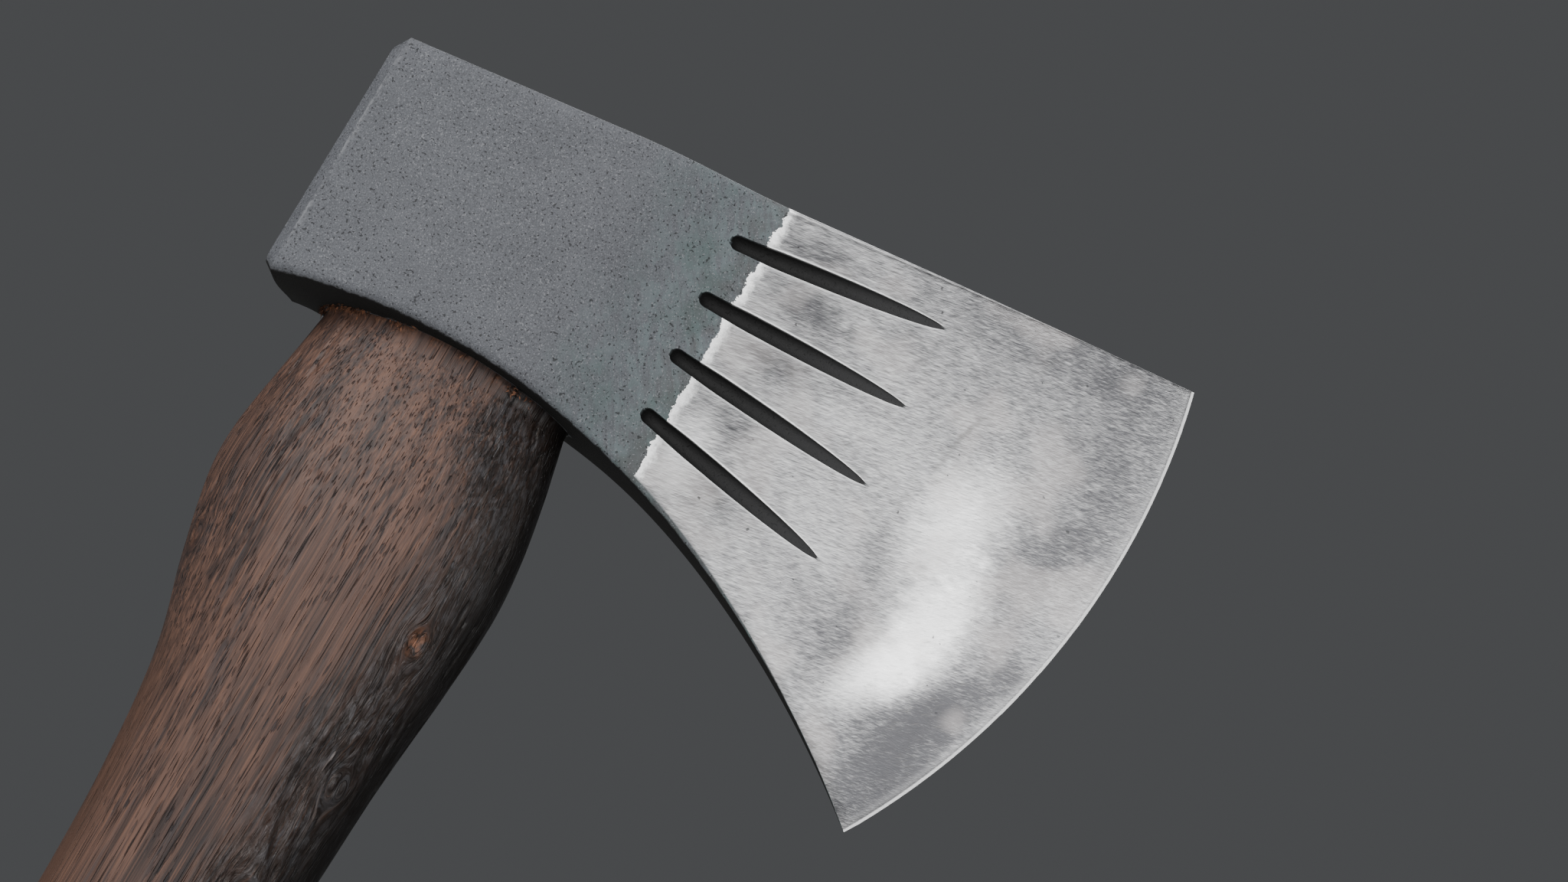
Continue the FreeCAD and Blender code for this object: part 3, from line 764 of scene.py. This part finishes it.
def makeHaft(finish):
    butt = buttLevel
    levels = np.concatenate([
        butt + haft["buttBevel"] * np.linspace(0, 1, 5),
        np.arange(butt + 2.4, haft["fineFrom"], haft["coarseStep"]),
        np.arange(haft["fineFrom"], 4.2, haft["fineStep"]), np.linspace(5.5, 38, 9)])
    turn = np.linspace(-math.pi, math.pi, haft["columns"], endpoint=False)
    level, turn = np.meshgrid(levels, turn, indexing="ij")
    centre, long, wide = np.moveaxis(haftRing(level), -1, 0)
    _, eyeLong, eyeWide = eyeShape(np.clip(level / head["eyeHeight"], 0, 1))
    long, wide = np.where(level > 0, eyeLong, long), np.where(level > 0, eyeWide, wide)
    edge = np.maximum(0, butt + haft["buttBevel"] - level)
    long, wide = long - edge, wide - edge
    points = np.stack([centre + long * np.cos(turn), wide * np.sin(turn), level], -1)
    out = np.stack([np.cos(turn) / long, np.sin(turn) / wide, np.zeros_like(turn)], -1)
    out /= np.linalg.norm(out, axis=-1, keepdims=True)
    degrees = np.degrees(turn)
    grain, swell, core = haftGrain(points)
    char, soot, amber, scaly, dashes = haftFields(points, degrees)
    print("haft fields ready")

    lumps = cloud(points, (24, 24, 50), 2, 3) * 0.08
    ridges = cloud(grain, (1.2, 1.2, 34), 3, 5) * 0.09
    cracked = 0.4 + 0.6 * rise(cloud(points, (9, 9, 30), 1, 23), -0.2, 0.4)
    cracks = rise(noise(grain, (1.0, 1.0, 15), 9), 0.5, 0.7) * cracked
    slanted = grain + level[..., None] * (0.3, 0, 0)
    marks = rise(noise(slanted, (1.1, 1.1, 3.6), 29), 0.3, 0.6) * dashes
    rippled = grain + level[..., None] * (0.34, 0.1, 0)
    scales = 1 - np.abs(cloud(rippled, (1.9, 1.9, 5.5), 2, 13)) * 2.4
    waves = cloud(rippled, (3.2, 3.2, 12), 2, 37)
    bump = lumps + ridges - cracks * 0.22 - marks * 0.16 + scaly * (scales * 0.5 - 0.22 + waves * 0.24)
    bump += swell * 0.28 - core * 0.4
    under = underLine(points[..., 0]) - 0.1
    lip = np.exp(-((level - under + 0.7) / 0.75) ** 2)
    tear = rise(cloud(points, (1.3, 1.3, 1.6), 2, 43), -0.15, 0.5)
    rear = 0.3 * rise(np.abs(degrees), 35, 60) + 0.7 * rise(np.abs(degrees), 120, 152)
    bump += lip * tear * 0.7 * rear
    free = rise(level, butt, butt + 3) * (1 - rise(level, under + 0.2, under + 1.2))
    points = points + out * ((bump - haft["inset"]) * free - 0.04)[..., None]
    points[..., 1] = np.clip(points[..., 1], -haft["halfLimit"], haft["halfLimit"])
    fibre = np.clip(lip * tear * rear * 1.5, 0, 1)
    layers = {"char": char, "soot": soot, "amber": amber, "scaly": scaly, "knot": core,
              "fibre": fibre}

    columns = haft["columns"]
    rows = [points]
    top = points[-1]
    for drop, inset in ((3.0, 0), (0.5, 0), (0.18, 0.1), (0.0, 0.4)):
        ring = top - out[-1] * inset
        ring[:, 2] = topLine(ring[:, 0]) + haft["proud"] - drop
        rows.append(ring[None])
    for fade in np.linspace(1, 0, haft["capRings"])[1:]:
        ring = shrunk(top - out[-1] * 0.4, fade)
        flat = ring * (1, 1, 0)
        ring[:, 2] = topLine(ring[:, 0]) + haft["proud"]
        ring[:, 2] += cloud(flat, (0.9, 0.9, 1), 2, 3) * 0.07 + cloud(flat, (7, 7, 1), 1, 6) * 0.1
        rows.append(ring[None])
    below = []
    for fade in np.linspace(1, 0, haft["capRings"])[1:]:
        ring = shrunk(points[0], fade)
        flat = ring * (1, 1, 0)
        ring[:, 2] = butt + np.maximum(0, cloud(flat, (12, 0.9, 1), 2, 8) * 0.07
                                       + cloud(flat, (0.8, 0.8, 1), 1, 9) * 0.05)
        below.insert(0, ring[None])
    whole = np.concatenate(below + rows)
    capTop = len(rows) - 1
    full = {name: np.pad(values, ((len(below), capTop), (0, 0))) for name, values in layers.items()}
    full["grain"] = np.concatenate(below + [grain] + rows[1:])
    ends = np.zeros(whole.shape[:2])
    ends[:len(below) + 1] = 1
    ends[-capTop:] = 1
    full["ends"] = ends
    faces = tubeFaces(len(whole), columns)
    whole = whole.reshape(-1, 3) + (0, 0, headZero)
    full = {name: values.reshape(-1, 3) if values.ndim == 3 else values.ravel()
            for name, values in full.items()}
    return makeMesh("haft", whole, faces, finish, full, crease=haft["crease"])


haftLook = {
    "brown": (0.13, 0.072, 0.053), "deep": (0.026, 0.019, 0.018), "warm": (0.16, 0.082, 0.053),
    "dash": (0.016, 0.016, 0.019), "slate": (0.04, 0.038, 0.041), "pore": (0.007, 0.005, 0.005),
    # soot: near black, for soot and for the painted shade down the haft's front
    "char": (0.043, 0.042, 0.045), "ash": (0.1, 0.085, 0.08), "soot": (0.005, 0.004, 0.0035),
    "singe": (0.055, 0.03, 0.02),
    "amber": (0.088, 0.048, 0.034), "fibre": (0.27, 0.115, 0.06), "fibreDark": (0.03, 0.017, 0.012),
    "endPale": (0.1, 0.055, 0.034), "endDark": (0.032, 0.019, 0.013),
    "pith": (60, 34, 0),  # how far the growth rings' centre lies outside the haft
    "rough": 0.52, "charRough": 0.37, "bump": 0.34,
}


def makeHaftFinish():
    f = Finish("scorchedWood", haftLook, Specular_IOR_Level=0.27)
    grain = f.node("Attribute", {"attribute_name": "grain"}, out="Vector")

    def figure(size, detail=2.0, rough=0.5, shift=0.0, warp=0.0):
        return f.grain(size, detail, rough, shift, None, warp, grain)

    fine = figure((0.28, 0.28, 18), 2, 0.6)
    lines = figure((0.6, 0.6, 40), 2, 0.6, 3)
    broad = figure((4.5, 4.5, 60), 2, 0.5, 5)
    tone = (broad * 0.45 + lines * 0.5 + fine * 0.4).span(0.48, 0.86)
    warmLines = fine.span(0.54, 0.66) * lines.span(0.35, 0.6)
    slate = figure((1.5, 1.5, 20), 3, 0.6, 7).span(0.54, 0.7)
    gather = figure((5, 5, 16), 2, 0.5, 9).span(0.46, 0.66)
    dashes = figure((0.36, 0.36, 3.2), 1, 0.5, 11).span(0.6, 0.68) * gather
    pores = figure((0.24, 0.24, 15), 1, 0.4, 13).span(0.63, 0.72)
    wood = f.coat("deep", brown=tone, warm=warmLines * 0.5, slate=slate * 0.45, dash=dashes * 0.75,
                  pore=pores * 0.7, amber=f.layer("amber") * (0.55 + fine * 0.8))

    # scorched side: rippled char with pale ridge lines, then near-black soot down the front, partly real
    # soot and partly painted shade on the side turned from the light, and bare knots
    char, soot, scaly, ends = [f.layer(name) for name in ("char", "soot", "scaly", "ends")]
    ripple = figure((0.7, 0.7, 2.6), 3, 0.7, 15, 0.6)
    paleLines = figure((0.5, 0.5, 18), 2, 0.6, 41).span(0.58, 0.68)
    paleLines = paleLines * figure((3, 3, 30), 1, 0.5, 43).span(0.42, 0.6)
    charTone = f.coat("soot", char=ripple.span(0.43, 0.64),
                      singe=fine.span(0.55, 0.75) * (1 - soot) * 0.6,
                      ash=paleLines * (1 - soot * 0.5) * 0.8)
    wood = f.blend(char * (0.72 + ripple * 0.3), wood, charTone)
    singe = scaly * figure((4, 4, 9), 2, 0.5, 17).span(0.5, 0.66) * ripple.span(0.45, 0.62)
    knot = f.layer("knot") * f.grain((0.8, 0.8, 1.6), 2, 0.6, 19).span(0.35, 0.6)
    wood = f.coat(wood, singe=singe * 0.5 * (1 - soot * 0.6), soot=soot * 0.9, fibre=knot * 0.8)
    torn = f.grain((0.35, 0.35, 0.7), 2, 0.6, 21)
    wood = f.blend(f.layer("fibre"), wood, f.coat("fibreDark", fibre=torn.span(0.35, 0.65)))

    # sawn ends: growth rings about a pith that lies outside the haft
    spread = f.node("VectorMath", {"operation": "MULTIPLY_ADD"},
                    {0: f.place, 1: (1, 1, 0), 2: haftLook["pith"]})
    radius = f.node("VectorMath", {"operation": "LENGTH"}, {0: spread}, out="Value")
    rings = ((radius + f.grain(9, 1) * 2) * 3.6).calc("SINE")
    endPores = f.grain(0.3, 1, 0.5, 23).span(0.6, 0.72)
    endTone = rings * 0.3 + f.grain((0.9, 0.9, 6), 2, 0.6, 25)
    endWood = f.coat("endDark", endPale=endTone.span(0.1, 0.9), pore=endPores * 0.7)
    f.feed(Base_Color=f.blend(ends, wood, endWood))
    f.feed(Roughness=haftLook["rough"] + (haftLook["charRough"] - haftLook["rough"]) * char
           + (lines - 0.5) * 0.15 + pores * 0.15 + ends * 0.15)
    height = (fine * 0.32 + lines * 0.25 - pores * 0.7 - dashes * 0.4 + ripple * scaly * 0.9
              - endPores * ends * 0.5)
    f.feed(Normal=f.relief(height, haftLook["bump"]))
    return f


haftFinish = makeHaftFinish()
haftVisual = makeHaft(haftFinish)
print("haft mesh", len(haftVisual.data.vertices))

# Torn fibres where the haft enters the eye

fibres = {"count": 460, "seed": 5, "length": (0.5, 2.2), "width": (0.07, 0.23), "reach": 0.6,
          "halfLimit": 12.4}


def makeFibres(finish):
    draw = np.random.default_rng(fibres["seed"])
    points, faces = [], []
    while len(points) < 6 * fibres["count"]:
        turn = draw.uniform(-math.pi, math.pi)
        degrees = math.degrees(turn)
        tuft = 0.25 * rise(math.sin(degrees * 0.21) + math.sin(degrees * 0.083), 0.2, 1.1)
        chance = tuft * rise(abs(degrees), 35, 60) + rise(abs(degrees), 125, 160)
        if draw.random() > chance:
            continue
        long, wide = head["eyeFoot"][1] + 0.5, head["eyeFoot"][2] + 0.5
        spot = np.array([0.1 + long * math.cos(turn), wide * math.sin(turn), 0])
        spot[2] = underLine(spot[0]) - 0.1 - abs(draw.normal(0, 0.45))
        out = np.array([math.cos(turn) / long, math.sin(turn) / wide, 0])
        out /= np.linalg.norm(out)
        tangent = np.array([-out[1], out[0], 0])
        lean = tangent * draw.normal(0, 0.8) + out * draw.uniform(0.0, 0.35)
        lean -= np.array([0, 0, draw.uniform(0.1, 0.9)])
        lean /= np.linalg.norm(lean)
        length, width = draw.uniform(*fibres["length"]), draw.uniform(*fibres["width"])
        start = spot + out * draw.uniform(-0.1, 0.35) * fibres["reach"]
        middle = start + lean * length * 0.45 + out * 0.12
        end = start + lean * length - out * draw.uniform(0, 0.3)
        side = np.cross(lean, out)
        side /= np.linalg.norm(side)
        thick = np.cross(side, lean)
        base = len(points)
        points += [start, middle + side * width, middle + thick * width * 0.5,
                   middle - side * width, middle - thick * width * 0.5, end]
        for i in range(4):
            j = (i + 1) % 4
            faces += [(base, base + 1 + j, base + 1 + i), (base + 5, base + 1 + i, base + 1 + j)]
    points = np.array(points) + (0, 0, headZero)
    points[:, 1] = np.clip(points[:, 1], -fibres["halfLimit"], fibres["halfLimit"])
    return makeMesh("tornFibres", points, faces, finish, crease=60)


def makeFibreFinish():
    f = Finish("tornFibre", haftLook, Specular_IOR_Level=0.3)
    tone = f.grain((0.5, 0.5, 1.2), 2, 0.6)
    f.feed(Base_Color=f.coat("fibreDark", fibre=tone.span(0.4, 0.7)))
    f.feed(Roughness=0.6 + tone * 0.2)
    f.feed(Normal=f.relief(f.grain((0.12, 0.12, 0.9), 1), 0.06))
    return f


fibreVisual = makeFibres(makeFibreFinish())

# Wedges

wedges = {
    # name: centre x, half length x, half width y at the top, at the foot, foot level, how proud
    "kerfWedge": (0.1, 19.3, 2.45, 0.6, 13.0, 0.94),
    "steelWedgeFront": (9.0, 1.5, 6.0, 6.0, 22.5, 1.1),
    "steelWedgeRear": (-9.0, 1.5, 6.0, 6.0, 22.5, 1.15),
}


def makeWedge(name, finish, steel):
    centre, halfX, halfTop, halfFoot, foot, proud = wedges[name]
    columns, corner = 200, 7
    turn = np.linspace(0, 2 * math.pi, columns, endpoint=False)
    shapeX, shapeY = [np.sign(way) * np.abs(way) ** (2 / corner) for way in (np.cos(turn), np.sin(turn))]

    def ring(x, y, z):
        return np.stack([x, y, z + np.zeros(columns)], -1)

    rows = []
    top = topLine(centre) + proud
    for level in np.linspace(foot, top - 0.6, 24):
        share = (level - foot) / (top - foot)
        longX = halfX * (0.2 + 0.8 * share) if steel else halfX
        wideY = halfFoot + (halfTop - halfFoot) * share
        rows.append(ring(centre + longX * shapeX, wideY * shapeY, level))
    for drop, inset in ((0.3, 0.0), (0.12, 0.08), (0.03, 0.22)):
        rows.append(ring(centre + (halfX - inset) * shapeX, (halfTop - inset) * shapeY,
                         topLine(centre + halfX * shapeX) + proud - drop))
    for fade in np.linspace(1, 0, 18)[1:]:
        x = centre + (halfX - 0.35) * shapeX * fade
        y = (halfTop - 0.35) * shapeY * fade
        rough = cloud(ring(x, y, 0), (2.6, 2.6, 1) if steel else (6, 0.7, 1), 3, centre)
        rows.append(ring(x, y, topLine(x) + proud + rough * 0.09))
    rows = np.array(rows)
    faces = tubeFaces(len(rows), columns)
    faces.append(list(range(columns))[::-1])
    return makeMesh(name, rows.reshape(-1, 3) + (0, 0, headZero), faces, finish)


wedgeLook = {
    "woodDark": (0.13, 0.07, 0.04), "woodPale": (0.36, 0.22, 0.12), "pore": (0.05, 0.028, 0.018),
    "steelDark": (0.07, 0.07, 0.074), "steelPale": (0.24, 0.24, 0.245), "rust": (0.11, 0.06, 0.04),
}


def makeWedgeWood():
    f = Finish("wedgeWood", wedgeLook, Specular_IOR_Level=0.35)
    rays = f.grain((3.5, 0.25, 3.5), 2, 0.6)
    pores = f.grain((0.25, 0.25, 0.6), 1, 0.5, 3).span(0.6, 0.72)
    stain = f.grain((5, 3, 5), 2, 0.6, 5)
    f.feed(Base_Color=f.coat("woodDark", woodPale=(rays * 0.7 + stain * 0.5).span(0.35, 0.8),
                             pore=pores * 0.7))
    f.feed(Roughness=0.62 + rays * 0.15)
    f.feed(Normal=f.relief(rays * 0.6 - pores, 0.1))
    return f


def makeWedgeSteel():
    f = Finish("wedgeSteel", wedgeLook, Specular_IOR_Level=0.5)
    dents = f.grain(1.3, 2, 0.5)
    scale = f.grain(0.4, 2, 0.7, 3)
    rust = f.grain(2.2, 3, 0.65, 5).span(0.55, 0.72)
    f.feed(Base_Color=f.coat("steelDark", steelPale=(dents * 0.7 + scale * 0.5).span(0.4, 0.8),
                             rust=rust * 0.6))
    f.feed(Metallic=0.85 - rust * 0.7)
    f.feed(Roughness=0.42 + scale * 0.25 + rust * 0.2)
    f.feed(Normal=f.relief(dents + scale * 0.3, 0.14))
    return f


wedgeSteel = makeWedgeSteel()
kerfVisual = makeWedge("kerfWedge", makeWedgeWood(), False)
frontVisual = makeWedge("steelWedgeFront", wedgeSteel, True)
rearVisual = makeWedge("steelWedgeRear", wedgeSteel, True)
for cutter in (frontVisual, rearVisual):
    carve(kerfVisual, cutter)
for cutter in (kerfVisual, frontVisual, rearVisual):
    carve(haftVisual, cutter)
tidyMesh(kerfVisual)
tidyMesh(haftVisual, haft["crease"])
print("wedges driven", len(haftVisual.data.vertices))

fitted = [  # piece, the node it stands for, its slot
    (headVisual, "head_body", "forged_iron"), (bitVisual, "cutting_bit", "edge_steel"),
    (haftVisual, "haft", "scorched_wood"), (kerfVisual, "kerf_wedge", "wedge_wood"),
    (frontVisual, "steel_wedge_front", "wedge_steel"), (rearVisual, "steel_wedge_rear", "wedge_steel"),
]
for piece, node, slot in fitted:
    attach(piece, "root")
    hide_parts(node)
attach(fibreVisual, "root")


# Studio

studio = {
    "azimuth": 6.0, "elevation": -10.4, "roll": 30.0, "distance": 647.9, "aim": (49.26, 0.0, 16.2),
    "lens": 99.4, "backdrop": (0.0722, 0.0744, 0.0776),
    "floor": (0.5, 0.5, 0.49), "floorPale": (0.52, 0.52, 0.5096), "floorHalf": 6000,
}


def placeCamera():
    around, up = math.radians(studio["azimuth"]), math.radians(studio["elevation"])
    back = Vector((math.sin(around) * math.cos(up), -math.cos(around) * math.cos(up), math.sin(up)))
    aim = Vector(studio["aim"]) + Vector((0, 0, headZero))
    camera = addObject("camera", bpy.data.cameras.new("camera"))
    camera.data.lens = studio["lens"]
    camera.data.clip_start = 0.01
    turn = (-back).to_track_quat("-Z", "Y").to_matrix()
    spin = Euler((0, 0, math.radians(studio["roll"]))).to_matrix()
    camera.matrix_world = (turn @ spin).to_4x4()
    camera.location = (aim + back * studio["distance"]) * mm
    bpy.context.scene.camera = camera


lights = [  # name, place and aim in mm, size, watts
    ("softboxFront", (-480, -820, 640), (30, 0, 200), 560, 12),
    ("softboxBlade", (380, -950, 310), (80, 0, 210), 420, 4.1),
    ("softboxTop", (-100, -100, 1200), (20, 0, 200), 600, 4.5),
    ("softboxRight", (950, -150, 480), (60, 0, 220), 450, 1.2),
    ("softboxBack", (0, 800, 900), (20, 0, 150), 600, 3.5),
]


def placeLights():
    for name, place, aim, width, watts in lights:
        lamp = bpy.data.lights.new(name, "AREA")
        lamp.shape = "SQUARE"
        lamp.size = width * mm
        lamp.energy = watts
        thing = addObject(name, lamp)
        thing.location = Vector(place) * mm
        thing.rotation_euler = (Vector(aim) - Vector(place)).to_track_quat("-Z", "Y").to_euler()
    world = bpy.data.worlds.new("studio")
    bpy.context.scene.world = world
    world.use_nodes = True
    world.node_tree.nodes["Background"].inputs["Color"].default_value = (*studio["backdrop"], 1)


def makeFloor():
    f = Finish("floorPaper", studio)
    f.feed(Base_Color=f.coat("floor", floorPale=f.grain(400, 2)))
    f.feed(Roughness=f.grain(30, 1) * 0.1 + 0.75)
    half, level = studio["floorHalf"], headZero + buttLevel
    corners = [(x * half, y * half, level) for x, y in ((-1, -1), (1, -1), (1, 1), (-1, 1))]
    makeMesh("floor", corners, [(0, 1, 2, 3)], f)


placeCamera()
placeLights()
makeFloor()
print("studio ready")
